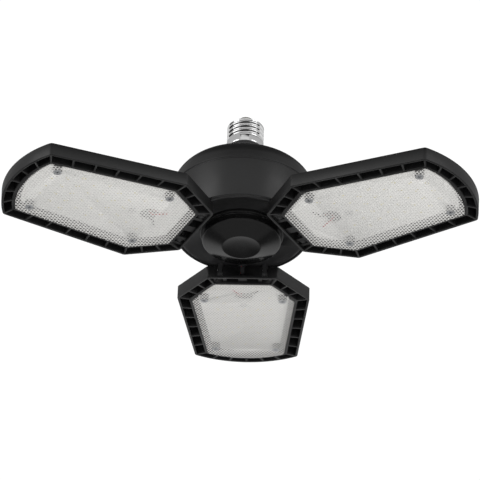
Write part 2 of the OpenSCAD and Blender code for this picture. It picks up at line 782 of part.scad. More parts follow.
module cells() {
    translate([0, 0, rim_z - eps]) linear_extrude(cell_depth + eps) difference() {
        polygon(drawn_in(outer_wall, corner_r - outer_wall / 2));
        polygon(window(-inner_wall, 3.5));
        ribs();
        lug_blocks();
    }
    translate([0, 0, rim_z - eps]) linear_extrude(lug_sink + eps) difference() {
        polygon(drawn_in(outer_wall, corner_r - outer_wall / 2));
        polygon(window(-inner_wall, 3.5));
        ribs();
    }
}

// Room for an ear from level to folded right down
module ear_room() {
    top = fin_top;
    r = ear_r + move_gap;
    width = slot_hi - slot_lo;
    translate([panel_start - 1, slot_lo, hinge_z - r])
        cube([hinge_at - panel_start + 1, width, top - hinge_z + r]);
    translate([hinge_at - hair, slot_lo, hinge_z])
        cube([ear_r + stop_room, width, top - hinge_z]);
    across(hinge_at, slot_lo, slot_hi, r + 0.1);
}

// A shaft over the hinge pins, then a channel along the back to the cap over the cable hole
module lead_room() {
    shaft_end = hinge_at + 2.2;
    bridge_end = panel_start + ring_start + 2;
    translate([panel_start - 1, -lead_slot, hinge_z - 2.2])
        cube([shaft_end - panel_start + 1, 2 * lead_slot, fin_top - hinge_z + 2.2]);
    translate([shaft_end - hair, -lead_slot, hinge_z - 2.2])
        cube([1.2, 2 * lead_slot, channel_top - hinge_z + 2.2]);
    translate([shaft_end, -lead_slot, floor_top])
        cube([cable_hole_at - shaft_end, 2 * lead_slot, channel_top - floor_top]);
    translate([bridge_end, -lead_slot, floor_top])
        cube([cap_start - 1 - bridge_end, 2 * lead_slot, fin_top - floor_top + eps]);
}

fin_half = floor(near_screw_half * 1.2 / fin_pitch);

module fins() {
    intersection() {
        slab(window(1.6, 3), floor_top - hair, fin_top);
        for (k = [-fin_half:fin_half])
            translate([fin_start, k * fin_pitch - fin_t / 2, floor_top - 2 * hair])
                cube([tip_at + tip_bulge - fin_start, fin_t, fin_top - floor_top + 1]);
    }
}

screw_spots = [[near_screw_at, near_screw_half], [near_screw_at, -near_screw_half],
    [far_screw_at, far_screw_half], [far_screw_at, -far_screw_half]];
boss_r = screw_r + 1.6;

module cable_hole(grow, low, high) {
    r = cable_hole_r + grow;
    translate([0, 0, low]) intersection() {
        translate([cable_hole_at, 0]) cylinder(h = high - low, r = r);
        translate([cable_hole_at - 0.75 * r, -r - 1]) cube([3 * r, 2 * r + 2, high - low]);
    }
}

module frame() {
    color(black) difference() {
        union() {
            difference() {
                slab(outline(0, 0, 0, corner_r), rim_z, frame_top);
                cells();
                slab(window(0, 3), rim_z - eps, floor_z);
                slab(window(-inner_wall * 0.4, 3), floor_top, frame_top + eps);
            }
            fins();
            cable_hole(cap_grow, floor_top - hair, channel_top + cable_cap_t);
            for (p = screw_spots) translate([p.x, p.y, lens_back])
                cylinder(h = floor_top + 3 - lens_back, r = boss_r);
        }
        both_sides() {
            ear_room();
            across(hinge_at, pin_lo - hair, pin_hi, pin_r);
        }
        lead_room();
        cable_hole(0, rim_z, channel_top);
        for (p = screw_spots) translate([p.x, p.y, lens_back - eps])
            cylinder(h = 8, r = screw_r);
        translate([board_screw_at, 0, board_z - eps]) cylinder(h = 5, r = screw_r);
    }
}

module led_board() {
    color("#f2f2ee") difference() {
        slab(window(board_in, 3), board_z, floor_z);
        for (p = screw_spots) translate([p.x, p.y, board_z - eps])
            cylinder(h = board_t + 2 * eps, r = boss_r + screw_gap);
        cable_hole(-0.4, board_z - eps, floor_z + eps);
        translate([board_screw_at, 0, board_z - eps])
            cylinder(h = board_t + 2 * eps, r = screw_r + screw_gap);
    }
}

led_rows = floor((tip_at - wide_at) / led_pitch);
led_half = floor((tip_half - ring_side) / led_pitch);
led_first = wide_at + 5;

// A package is left out where it would meet a screw or the cable hole
function led_fits(p) =
    norm(p - [cable_hole_at, 0]) > cable_hole_r + led_l
    && norm(p - [board_screw_at, 0]) > head_r + led_l
    && min([for (s = screw_spots) norm(p - s)]) > boss_r + led_l;

module leds() {
    color("#f4e9b0") for (i = [0:led_rows - 1], k = [-led_half:led_half - i % 2]) {
        p = [led_first + i * led_pitch, (k + 0.5 * (i % 2)) * led_pitch];
        if (led_fits(p)) translate([p.x - led_l / 2, p.y - led_w / 2, board_z - led_h])
            cube([led_l, led_w, led_h]);
    }
}

module lens() {
    color("#e9eaec") difference() {
        union() {
            slab(window(seat_gap, 3), lens_z, lens_back);
            difference() {
                slab(window(seat_gap, 3), lens_back - hair, floor_z);
                slab(window(seat_gap + 1.2, 2.5), lens_back - 1, floor_z + 1);
            }
        }
        for (p = screw_spots) translate([p.x, p.y, lens_z - eps]) {
            cylinder(h = lens_t + 2 * eps, r = screw_r + screw_gap);
            translate([0, 0, eps - hair])
                cylinder(h = head_h + hair, r1 = head_r + screw_gap, r2 = screw_r + screw_gap);
        }
    }
}

module lens_screws() {
    color(steel) for (p = screw_spots) translate([p.x, p.y, lens_z])
        screw_up(floor_top - lens_z, true);
}

module board_screw() {
    color(steel) translate([board_screw_at, 0, board_z - head_h]) screw_up(head_h + short_grip, false);
}

module pivot_pins() {
    color(steel) both_sides() across(hinge_at, pin_lo, pin_hi, pin_r);
}

module friction_washers() {
    color("#2b2c2e") both_sides() for (v = [slot_lo, slot_hi - washer_t]) difference() {
        across(hinge_at, v, v + washer_t, ear_r - 0.2);
        across(hinge_at, v - eps, v + washer_t + eps, pin_r);
    }
}

// A panel lead starts by the hinge, runs along the back and comes through the cable hole
module panel_lead(side, pad) {
    back = floor_top + wire_r + 0.1;
    front = board_z - wire_r - 0.1;
    wire([[hinge_at + 1.3, side * lead_side, hinge_z], [hinge_at + 3.4, side * lead_side, back],
        [cable_hole_at - 2, side * lead_side, back],
        [cable_hole_at + 1, side * lead_side * 1.4, floor_z - 0.1],
        [cable_hole_at - 3, side * 3, front], pad + [0, 0, front]], wire_r);
}

module red_lead() {
    color("#b3202a") panel_lead(1, [cable_hole_at - red_pad_back, red_pad_side, 0]);
}

module black_lead() {
    color("#202022") panel_lead(-1, [cable_hole_at - black_pad_back, -black_pad_side, 0]);
}

centre_contact();
contact_insulator();
screw_shell();
neck();
top_cover();
housing();
hinge_plate();
centre_cover();
case_screws();
driver_board();
driver_screws();
transformer_core();
transformer_winding();
bulk_capacitors();
film_capacitor();
line_choke();
bridge_rectifier();
switching_transistor();
fuse_resistor();
live_wire();
neutral_wire();
red_output_leads();
black_output_leads();
lead_bushes();

at_panel(back_az, back_tilt) frame();  // back_frame
at_panel(back_az, back_tilt) led_board();  // back_led_board
at_panel(back_az, back_tilt) leds();  // back_leds
at_panel(back_az, back_tilt) lens();  // back_lens
at_panel(back_az, back_tilt) lens_screws();  // back_lens_screws
at_panel(back_az, back_tilt) board_screw();  // back_board_screw
at_panel(back_az, back_tilt) pivot_pins();  // back_pivot_pins
at_panel(back_az, back_tilt) friction_washers();  // back_friction_washers
at_panel(back_az, back_tilt) red_lead();  // back_red_lead
at_panel(back_az, back_tilt) black_lead();  // back_black_lead

at_panel(left_az, side_tilt) frame();  // left_frame
at_panel(left_az, side_tilt) led_board();  // left_led_board
at_panel(left_az, side_tilt) leds();  // left_leds
at_panel(left_az, side_tilt) lens();  // left_lens
at_panel(left_az, side_tilt) lens_screws();  // left_lens_screws
at_panel(left_az, side_tilt) board_screw();  // left_board_screw
at_panel(left_az, side_tilt) pivot_pins();  // left_pivot_pins
at_panel(left_az, side_tilt) friction_washers();  // left_friction_washers
at_panel(left_az, side_tilt) red_lead();  // left_red_lead
at_panel(left_az, side_tilt) black_lead();  // left_black_lead

at_panel(right_az, side_tilt) frame();  // right_frame
at_panel(right_az, side_tilt) led_board();  // right_led_board
at_panel(right_az, side_tilt) leds();  // right_leds
at_panel(right_az, side_tilt) lens();  // right_lens
at_panel(right_az, side_tilt) lens_screws();  // right_lens_screws
at_panel(right_az, side_tilt) board_screw();  // right_board_screw
at_panel(right_az, side_tilt) pivot_pins();  // right_pivot_pins
at_panel(right_az, side_tilt) friction_washers();  // right_friction_washers
at_panel(right_az, side_tilt) red_lead();  // right_red_lead
at_panel(right_az, side_tilt) black_lead();  // right_black_lead
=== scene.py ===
# %% [markdown]
# # A garage light with three folding panels
# The lamp screws into an ordinary ceiling holder. Its hub carries three flat light panels on
# hinge pins. The measured solids come from the CAD frame; this lesson gives them rolled metal,
# moulded edges, prism lenses, real screws and finishes.

# %% Load the measured frame
import bmesh
import bpy
from math import cos, hypot, pi, radians, sin, tan
from mathutils import Matrix, Vector


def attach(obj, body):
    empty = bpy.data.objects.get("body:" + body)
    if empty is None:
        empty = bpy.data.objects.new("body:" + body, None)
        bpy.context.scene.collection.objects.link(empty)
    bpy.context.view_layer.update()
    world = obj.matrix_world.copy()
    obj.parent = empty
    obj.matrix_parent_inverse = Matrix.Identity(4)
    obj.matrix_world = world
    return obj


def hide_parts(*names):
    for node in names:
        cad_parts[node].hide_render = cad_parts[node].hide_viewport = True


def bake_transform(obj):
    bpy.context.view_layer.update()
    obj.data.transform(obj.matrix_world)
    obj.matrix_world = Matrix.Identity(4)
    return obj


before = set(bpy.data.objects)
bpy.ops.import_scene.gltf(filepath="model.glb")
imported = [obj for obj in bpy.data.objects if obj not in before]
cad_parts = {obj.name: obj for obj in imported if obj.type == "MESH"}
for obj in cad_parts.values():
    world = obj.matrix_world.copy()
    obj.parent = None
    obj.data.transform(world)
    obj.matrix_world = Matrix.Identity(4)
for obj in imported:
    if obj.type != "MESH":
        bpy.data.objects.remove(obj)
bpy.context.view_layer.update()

MM = 0.001
AXIS = Vector((0, 0, 1))
print("CAD nodes:", len(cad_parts))

# %% [markdown]
# The camera stands below the lamp and a little to one side, a metre and a half away, as the
# photographer did. Its place was worked out from the panels' corners. The roll is a turn about
# the viewing line, so it goes into the camera's own axes.

# %% Camera
AZIMUTH, ELEVATION, ROLL = radians(2.45), radians(-35.36), radians(-2.19)
DISTANCE = 1525.53 * MM
SIDESTEP, AIM_Z = -1.05 * MM, -77.46 * MM
back = Vector((sin(AZIMUTH) * cos(ELEVATION), -cos(AZIMUTH) * cos(ELEVATION), sin(ELEVATION)))
level = (-back).cross(AXIS).normalized()
upright = level.cross(-back)
across_axis = level * cos(ROLL) - upright * sin(ROLL)
up_axis = level * sin(ROLL) + upright * cos(ROLL)
target = level * SIDESTEP + AXIS * AIM_Z
eye = target + back * DISTANCE

lens_data = bpy.data.cameras.new("garage_view")
lens_data.sensor_width = 36
lens_data.lens = 166.14
lens_data.clip_start, lens_data.clip_end = 0.05, 50
camera = bpy.data.objects.new("garage_view", lens_data)
turn = Matrix((across_axis, up_axis, back)).transposed()
camera.matrix_world = Matrix.Translation(eye) @ turn.to_4x4()
bpy.context.scene.collection.objects.link(camera)
bpy.context.scene.camera = camera
print("camera at", [round(c, 3) for c in eye])

# %% [markdown]
# Each panel is drawn level, pointing along +X, and is then tilted on its hinge and turned into
# place. The same three steps in one matrix put every new panel piece where its CAD node is.

# %% Places of the three panels
HINGE_R, HINGE_Z = 39.5 * MM, -79.55 * MM
PANELS = {"back": (90, -7), "left": (210, 3.8), "right": (330, 3.8)}


def panel_place(side):
    turn_deg, tilt_deg = PANELS[side]
    hinge = Vector((HINGE_R, 0, HINGE_Z))
    return (Matrix.Rotation(radians(turn_deg), 4, "Z") @ Matrix.Translation(hinge)
            @ Matrix.Rotation(radians(tilt_deg), 4, "Y") @ Matrix.Translation(-hinge))


for side in PANELS:
    print(side, "panel looks along", [round(c, 3) for c in panel_place(side).to_3x3().col[0]])

# %% [markdown]
# A finish here is a node tree on a Principled shader. Plastic is never one flat colour: moulding
# leaves a fine grain and the gloss wanders. A small class keeps the wiring short: it adds nodes,
# joins them, mixes in a clear shader where a piece lets light through, and leaves every constant
# on the shader's own socket.


# %% Helper for finishes
class Finish:
    def __init__(self, name, **sockets):
        self.material = bpy.data.materials.new(name)
        self.material.use_nodes = True
        self.tree = self.material.node_tree
        self.skin = self.tree.nodes["Principled BSDF"]
        self.out = self.tree.nodes["Material Output"]
        for socket, value in sockets.items():
            self.skin.inputs[socket.replace("_", " ")].default_value = value
        self.place = self.add("ShaderNodeTexCoord").outputs["Object"]

    def add(self, kind, **settings):
        node = self.tree.nodes.new(kind)
        for key, value in settings.items():
            setattr(node, key, value)
        return node

    def join(self, source, target):
        self.tree.links.new(source, target)

    def math(self, operation, a, b=0.0, c=0.0):
        node = self.add("ShaderNodeMath", operation=operation)
        for socket, value in zip(node.inputs, (a, b, c)):
            if isinstance(value, (int, float)):
                socket.default_value = value
            else:
                self.join(value, socket)
        return node.outputs[0]

    def dot(self, vector, direction):
        node = self.add("ShaderNodeVectorMath", operation="DOT_PRODUCT")
        self.join(vector, node.inputs[0])
        node.inputs[1].default_value = direction
        return node.outputs["Value"]

    def noise(self, scale, detail=3.0, rough=0.5, stretch=(1, 1, 1)):
        squeeze = self.add("ShaderNodeMapping")
        squeeze.inputs["Scale"].default_value = stretch
        self.join(self.place, squeeze.inputs["Vector"])
        node = self.add("ShaderNodeTexNoise")
        node.inputs["Scale"].default_value = scale
        node.inputs["Detail"].default_value = detail
        node.inputs["Roughness"].default_value = rough
        self.join(squeeze.outputs[0], node.inputs["Vector"])
        return node.outputs["Fac"]

    def between(self, value, low, high, start=0.0, end=1.0):
        node = self.add("ShaderNodeMapRange")
        for key, number in (("From Min", start), ("From Max", end), ("To Min", low), ("To Max", high)):
            node.inputs[key].default_value = number
        self.join(value, node.inputs["Value"])
        return node.outputs[0]

    def blend(self, value, first, second):
        node = self.add("ShaderNodeMix", data_type="RGBA")
        for socket, colour in ((node.inputs[6], first), (node.inputs[7], second)):
            if isinstance(colour, tuple):
                socket.default_value = (*colour, 1)
            else:
                self.join(colour, socket)
        self.join(value, node.inputs[0])
        return node.outputs[2]

    def bump(self, height, depth_mm, strength=1.0, under=None):
        node = self.add("ShaderNodeBump")
        node.inputs["Distance"].default_value = depth_mm * MM
        node.inputs["Strength"].default_value = strength
        self.join(height, node.inputs["Height"])
        if under:
            self.join(under, node.inputs["Normal"])
        return node.outputs[0]

    def set(self, socket, source):
        self.join(source, self.skin.inputs[socket])

    def see_through(self, share):
        through = self.add("ShaderNodeBsdfTransparent")
        whole = self.add("ShaderNodeMixShader")
        self.join(share, whole.inputs[0])
        self.join(self.skin.outputs[0], whole.inputs[1])
        self.join(through.outputs[0], whole.inputs[2])
        self.join(whole.outputs[0], self.out.inputs["Surface"])


# %% [markdown]
# Moulded black plastic covers most of the lamp. The colour is a very dark grey that drifts a
# little, the gloss changes in slow patches, and a fine spark-eroded grain breaks up reflections.
# Five versions differ in shade and gloss: the hub, its neck, the hinge plate, the trim and the
# frames. The neck's much lighter grey is painted reflection on the hub's own plastic.


# %% Black plastics
def moulded_black(name, shade, gloss, grain_scale, grain_depth):
    f = Finish(name, IOR=1.5)
    drift = f.noise(14, 4)
    f.set("Base Color", f.blend(drift, (shade * 0.8,) * 3, (shade * 1.25, shade * 1.25, shade * 1.3)))
    f.set("Roughness", f.between(f.noise(38, 5, 0.6), gloss - 0.06, gloss + 0.07, 0.3, 0.7))
    f.set("Normal", f.bump(f.noise(grain_scale, 2), grain_depth))
    return f.material


hub_black = moulded_black("hub_black", 0.011, 0.38, 2600, 0.012)
plate_black = moulded_black("plate_black", 0.020, 0.36, 2600, 0.012)
# Painted reflection: the neck's base grey is several times the hub's, standing for light it mirrors
# from the front.
neck_black_painted_reflection = moulded_black("neck_black_painted_reflection", 0.05, 0.3, 2600, 0.012)
trim_black = moulded_black("trim_black", 0.004, 0.15, 2200, 0.003)
panel_black = moulded_black("panel_black", 0.006, 0.42, 2000, 0.02)
print("black plastics: 5")

# %% [markdown]
# Metals differ by how they were worked. The screw shell is rolled sheet with a nickel skin, so
# faint lines run round it. Screws and pins are zinc plated, a little mottled.


# %% Metals
def plated(name, light, dark, gloss, stretch, scale, depth=0.004):
    f = Finish(name, Metallic=1.0)
    lines = f.noise(scale, 4, 0.6, stretch)
    f.set("Base Color", f.blend(lines, dark, light))
    f.set("Roughness", f.between(f.noise(120, 3), gloss, gloss + 0.08, 0.3, 0.7))
    f.set("Normal", f.bump(lines, depth))
    return f.material


EVEN, ROUND_THE_AXIS = (1, 1, 1), (1, 1, 12)
shell_nickel = plated("shell_nickel", (0.95, 0.95, 0.95), (0.88, 0.88, 0.88), 0.02, ROUND_THE_AXIS,
                      180, 0.001)
contact_metal = plated("contact_metal", (0.80, 0.79, 0.77), (0.60, 0.59, 0.57), 0.22, EVEN, 700)
zinc_steel = plated("zinc_steel", (0.80, 0.81, 0.82), (0.60, 0.61, 0.63), 0.42, EVEN, 900)
print("metals: 3")

# %% [markdown]
# The light boards are white, so that they throw the light out. Solder mask is glossy and shows
# the copper under it as a faint relief. The driver board is the usual green. Both patterns are
# thin lines from a brick texture, which stands for the tracks.


# %% Circuit boards
def circuit_board(name, mask, track, gloss):
    f = Finish(name, IOR=1.5, Coat_Weight=0.3, Coat_Roughness=0.2)
    tracks = f.add("ShaderNodeTexBrick", offset=0.37)
    tracks.inputs["Scale"].default_value = 75
    tracks.inputs["Mortar Size"].default_value = 0.035
    tracks.inputs["Mortar Smooth"].default_value = 0.3
    f.join(f.place, tracks.inputs["Vector"])
    f.set("Base Color", f.blend(tracks.outputs["Fac"], mask, track))
    f.set("Roughness", f.between(f.noise(60), gloss, gloss + 0.1))
    f.set("Normal", f.bump(tracks.outputs["Fac"], 0.03))
    return f.material


light_board = circuit_board("light_board", (0.92, 0.91, 0.88), (0.88, 0.87, 0.84), 0.45)
driver_green = circuit_board("driver_green", (0.02, 0.13, 0.05), (0.03, 0.24, 0.08), 0.3)
print("boards: 2")


# %% [markdown]
# Small electric parts are told apart by colour. Most are a plain body with fine mottling, so
# one function makes them; windings and sleeves get stripes from a wave texture.


# %% Small parts
def body_finish(name, colour, gloss, scale=400, contrast=0.25, depth=0.01, stripes=None, second=None):
    f = Finish(name, IOR=1.5)
    dark = tuple(c * (1 - contrast) for c in colour)
    mottled = f.blend(f.noise(scale), dark, colour)
    height = f.noise(scale * 3, 2)
    if stripes:
        direction, spacing = stripes
        wave = f.add("ShaderNodeTexWave", bands_direction=direction)
        wave.inputs["Scale"].default_value = 1 / (spacing * MM * 20) * pi * 2
        wave.inputs["Distortion"].default_value = 0.4
        f.join(f.place, wave.inputs["Vector"])
        mottled = f.blend(wave.outputs["Fac"], second or dark, colour)
        height = wave.outputs["Fac"]
        depth = 0.12
    f.set("Base Color", mottled)
    f.set("Roughness", f.between(f.noise(90), gloss - 0.05, gloss + 0.08))
    f.set("Normal", f.bump(height, depth))
    return f.material


cap_insulator = body_finish("cap_insulator", (0.75, 0.73, 0.67), 0.22)
ferrite = body_finish("ferrite", (0.045, 0.045, 0.05), 0.5, 300)
winding_tape = body_finish("winding_tape", (0.72, 0.50, 0.08), 0.35, stripes=("Z", 2.4),
                           second=(0.5, 0.3, 0.04))
capacitor_sleeve = body_finish("capacitor_sleeve", (0.02, 0.05, 0.16), 0.25, 200)
film_case = body_finish("film_case", (0.55, 0.36, 0.06), 0.3, 200)
copper_turns = body_finish("copper_turns", (0.55, 0.24, 0.08), 0.3, stripes=("X", 0.9),
                           second=(0.25, 0.09, 0.03))
chip_black = body_finish("chip_black", (0.02, 0.02, 0.022), 0.55, 700)
resistor_body = body_finish("resistor_body", (0.16, 0.32, 0.2), 0.4, stripes=("X", 2.6),
                            second=(0.5, 0.35, 0.1))
wire_brown = body_finish("wire_brown", (0.30, 0.04, 0.03), 0.4)
wire_white = body_finish("wire_white", (0.70, 0.69, 0.66), 0.4, contrast=0.1)
wire_red = body_finish("wire_red", (0.46, 0.02, 0.02), 0.38)
wire_black = body_finish("wire_black", (0.022, 0.022, 0.024), 0.4)
bush_rubber = body_finish("bush_rubber", (0.03, 0.03, 0.032), 0.7, 900)
washer_nylon = body_finish("washer_nylon", (0.03, 0.03, 0.032), 0.45, 900)
led_package = body_finish("led_package", (0.88, 0.87, 0.84), 0.4, contrast=0.06)
led_phosphor = body_finish("led_phosphor", (0.86, 0.78, 0.45), 0.35, 1200, 0.12)
print("small parts: 16 finishes")

# %% [markdown]
# The lens is clear plastic pressed with a honeycomb of small prisms. Light scatters in their
# flanks, so it looks milky, but the crown of each prism is clear. Where the white board lies
# behind it nothing shows; where the dark frame or the cable hole does, the crowns turn into
# dots. The board ends short of the walls, and light from its last prisms is bent outwards, so
# the clear crowns are wider near the edge. The honeycomb is the sum of three cosines at sixty
# degrees, read from the piece's own flat map in millimetres.

# %% Prism lens
PRISM_ROW = 2.0
NEAR_CORNER, WIDE_CORNER, TIP_CORNER = Vector((35, 24.7)), Vector((66.8, 47.2)), Vector((161.5, 38.3))
TIP_BULGE, RING_START, RING_SIDE, RING_TIP = 11.9, 11.2, 10.4, 9.2
TIP_R = (TIP_CORNER.y ** 2 + TIP_BULGE ** 2) / (2 * TIP_BULGE)
TIP_AT = TIP_CORNER.x + TIP_BULGE - TIP_R


def honeycomb(f, flat):
    waves = [f.math("COSINE", f.math("MULTIPLY", f.dot(flat, (cos(w), sin(w), 0)), 2 * pi / PRISM_ROW))
             for w in (0, pi / 3, 2 * pi / 3)]
    cells = f.math("ADD", f.math("ADD", waves[0], waves[1]), waves[2])
    return f.between(cells, 0, 1, -1.5, 3)


def to_line(f, flat, start, end, inset):
    """Distance in from a line, on both halves of the panel."""
    along = (end - start).normalized()
    outward = Vector((-along.y, along.x))
    reach = outward.dot(start) - inset
    both = [f.math("SUBTRACT", reach, f.dot(flat, (outward.x, outward.y * half, 0)))
            for half in (1, -1)]
    return f.math("MINIMUM", *both)


def from_edge(f, flat):
    slant = to_line(f, flat, NEAR_CORNER, WIDE_CORNER, RING_SIDE)
    side = to_line(f, flat, WIDE_CORNER, TIP_CORNER, RING_SIDE)
    near = f.math("SUBTRACT", f.dot(flat, (1, 0, 0)), NEAR_CORNER.x + RING_START)
    reach = f.add("ShaderNodeVectorMath", operation="DISTANCE")
    f.join(flat, reach.inputs[0])
    reach.inputs[1].default_value = (TIP_AT, 0, 0)
    tip = f.math("SUBTRACT", TIP_R - RING_TIP, reach.outputs["Value"])
    return f.math("MINIMUM", f.math("MINIMUM", slant, side), f.math("MINIMUM", near, tip))


def clear_plastic(name, clear, relief_mm):
    f = Finish(name, IOR=1.49, Roughness=0.3)
    flat = f.add("ShaderNodeUVMap", uv_map="panel_mm").outputs["UV"]
    height = honeycomb(f, flat)
    f.set("Base Color", f.blend(f.noise(25), (0.86, 0.85, 0.825), (0.92, 0.91, 0.885)))
    f.set("Normal", f.bump(height, relief_mm))
    start = f.between(from_edge(f, flat), 0.12, 0.5, 0, 12)
    crown = f.between(f.math("SUBTRACT", height, start), 0.06, clear, 0, 0.16)
    ray = f.add("ShaderNodeLightPath")
    light = f.math("MAXIMUM", ray.outputs["Is Shadow Ray"], ray.outputs["Is Diffuse Ray"])
    f.see_through(f.math("MAXIMUM", light, crown))
    return f.material


def clear_rim(name, clear):
    f = Finish(name, IOR=1.49, Roughness=0.2)
    f.set("Base Color", f.blend(f.noise(40), (0.80, 0.79, 0.77), (0.88, 0.87, 0.85)))
    f.see_through(f.between(f.noise(60), clear - 0.05, clear + 0.05, 0.3, 0.7))
    return f.material


lens_rim = clear_rim("lens_rim", 0.92)
lens_prism = clear_plastic("lens_prism", 0.9, 0.15)
print("prism rows", PRISM_ROW, "mm apart")

# %% [markdown]
# Three helpers turn a bmesh into a finished piece. One makes the object, smooths it up to real
# edges, hangs it under the empty of the body that carries it and hides the CAD node it stands
# for. One turns a profile round the axis with spin. One rounds sharp edges with a small bevel,
# because no moulded edge is a knife edge, and the rounding is what catches the light.


# %% Helpers for pieces
def finish_piece(name, bm, body, materials, replaces=(), place=None, sharp=35):
    mesh = bpy.data.meshes.new(name)
    if place:
        bmesh.ops.transform(bm, matrix=place, verts=bm.verts)
    bm.to_mesh(mesh)
    bm.free()
    for material in materials:
        mesh.materials.append(material)
    for face in mesh.polygons:
        face.use_smooth = True
    mesh.set_sharp_from_angle(angle=radians(sharp))
    piece = bpy.data.objects.new(name, mesh)
    bpy.context.scene.collection.objects.link(piece)
    if body:
        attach(piece, body)
    if replaces:
        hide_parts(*replaces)
    print(name, len(mesh.vertices), "vertices")
    return piece


def close_up(bm):
    bmesh.ops.remove_doubles(bm, verts=bm.verts, dist=0.002 * MM)
    bmesh.ops.recalc_face_normals(bm, faces=bm.faces)


def turned(profile, steps=96, closed=True, bm=None):
    bm = bm or bmesh.new()
    line = [bm.verts.new((r * MM, 0, z * MM)) for r, z in profile]
    pairs = list(zip(line, line[1:])) + ([(line[-1], line[0])] if closed else [])
    edges = [bm.edges.new(pair) for pair in pairs]
    bmesh.ops.spin(bm, geom=line + edges, cent=(0, 0, 0), axis=AXIS, angle=2 * pi, steps=steps,
                   use_merge=True)
    close_up(bm)
    return bm


def round_edges(bm, width, segments=2, angle=40, keep=lambda edge: True):
    sharp = [e for e in bm.edges if len(e.link_faces) == 2
             and e.calc_face_angle(0) > radians(angle) and keep(e)]
    bmesh.ops.bevel(bm, geom=sharp, offset=width * MM, offset_type="OFFSET", segments=segments,
                    profile=0.5, affect="EDGES", clamp_overlap=True, material=-1)
    return len(sharp)


# %% [markdown]
# The screw shell is rolled from thin sheet: a round thread that climbs once per turn, a smooth
# collar under it and a shoulder that closes in to the contact. Spin with a rise per step makes a
# true helix from one upright line. Its ends fade into plain circles, which are then drawn out
# into the collar and the shoulder. Solidify gives the sheet its thickness.

# %% Screw shell
CREST_R, PITCH, DEPTH, TURNS, COLLAR = 13.1, 3.63, 1.1, 4, 4.7
THREAD_TOP = COLLAR + TURNS * PITCH
MOUTH_R, SHOULDER, SHEET = 8.6, 2.2, 0.35


def fade(distance, over):
    t = min(max(distance / over, 0), 1)
    return t * t * (3 - 2 * t)


def draw_out(bm, rim, rings):
    """Extrudes an open rim through rings of (radius, height), in millimetres."""
    for radius, z in rings:
        grown = bmesh.ops.extrude_edge_only(bm, edges=rim)["geom"]
        rim = [g for g in grown if isinstance(g, bmesh.types.BMEdge)]
        for v in (g for g in grown if isinstance(g, bmesh.types.BMVert)):
            flat = Vector((v.co.x, v.co.y, 0)).normalized() * radius * MM
            v.co = (flat.x, flat.y, z * MM)
    return rim


def open_rim(bm, z):
    return [e for e in bm.edges if e.is_boundary and all(abs(v.co.z - z * MM) < 1e-5 for v in e.verts)]


bm = bmesh.new()
STEPS, PER_TURN = 72, 14
heights = [COLLAR + (k / PER_TURN - 1.5) * PITCH for k in range((TURNS + 3) * PER_TURN + 1)]
line = [bm.verts.new(((CREST_R - DEPTH * (0.5 - 0.5 * cos(2 * pi * z / PITCH))) * MM, 0, z * MM))
        for z in heights]
edges = [bm.edges.new(pair) for pair in zip(line, line[1:])]
bmesh.ops.spin(bm, geom=line + edges, cent=(0, 0, 0), axis=AXIS, angle=2 * pi, steps=STEPS,
               dvec=(0, 0, PITCH * MM / STEPS), use_merge=False)
bmesh.ops.remove_doubles(bm, verts=bm.verts, dist=0.02 * MM)
for v in bm.verts:
    z = v.co.z / MM
    radius = hypot(v.co.x, v.co.y) / MM
    keep = fade(z - COLLAR, PITCH * 0.8) * fade(THREAD_TOP - z, PITCH * 0.5)
    grown = (CREST_R - (CREST_R - radius) * keep) / radius
    v.co.x *= grown
    v.co.y *= grown
for z, side in ((COLLAR, -1), (THREAD_TOP, 1)):
    bmesh.ops.bisect_plane(bm, geom=bm.verts[:] + bm.edges[:] + bm.faces[:], dist=1e-6,
                           plane_co=(0, 0, z * MM), plane_no=(0, 0, side), clear_outer=True)
draw_out(bm, open_rim(bm, COLLAR), [(CREST_R, COLLAR / 2), (CREST_R, 0.5), (CREST_R - 0.12, 0.12),
                                    (CREST_R - 0.35, 0)])
shoulder = []
for w in range(10, 91, 10):
    across, rise = cos(radians(w)), sin(radians(w))
    shoulder.append((MOUTH_R + (CREST_R - MOUTH_R) * across,
                     THREAD_TOP + SHOULDER * (0.35 * rise + 0.65 * (1 - across))))
draw_out(bm, open_rim(bm, THREAD_TOP), shoulder)
close_up(bm)
shell = finish_piece("rolled_screw_shell", bm, "hub", [shell_nickel], ["screw_shell"])
sheet = shell.modifiers.new("sheet", "SOLIDIFY")
sheet.thickness, sheet.offset = SHEET * MM, -1

# %% [markdown]
# The hub is three moulded skins. The dome has a short upright side, a wide rounded shoulder and
# a shallow crown up to the neck. The housing below it narrows a little to its lower rim. Each
# is one closed profile turned round the axis, with rounded edges at the seam.

# %% Dome, neck and housing
SEAM_R, SEAM_Z, SIDE_H, SHOULDER_R, CROWN, WALL = 50.7, -44, 5.2, 15, radians(12), 2
SIDE_R = SEAM_R - 0.7
SHOULDER_Z = SEAM_Z + SIDE_H
NECK_R, NECK_BORE, GROOVE = 12.8, 8.2, 0.5
POST_R, POST_AT, POST_TURNS = 3.7, 22, (30, 150, 270)
UNDER_Z, RIM_R, SEAT_R = -72.3, 46.6, 45.2
PLATE_TOP = -69.1
crown_r = SIDE_R - SHOULDER_R + SHOULDER_R * sin(CROWN)
crown_z = SHOULDER_Z + SHOULDER_R * cos(CROWN)
crown_top = crown_z + (crown_r - NECK_R - 2) * tan(CROWN)
spigot_r = NECK_R - 1.4


def dome_line(inset):
    return [(SIDE_R - SHOULDER_R + (SHOULDER_R - inset) * cos(radians(w)),
             SHOULDER_Z + (SHOULDER_R - inset) * sin(radians(w))) for w in range(0, 79, 3)]


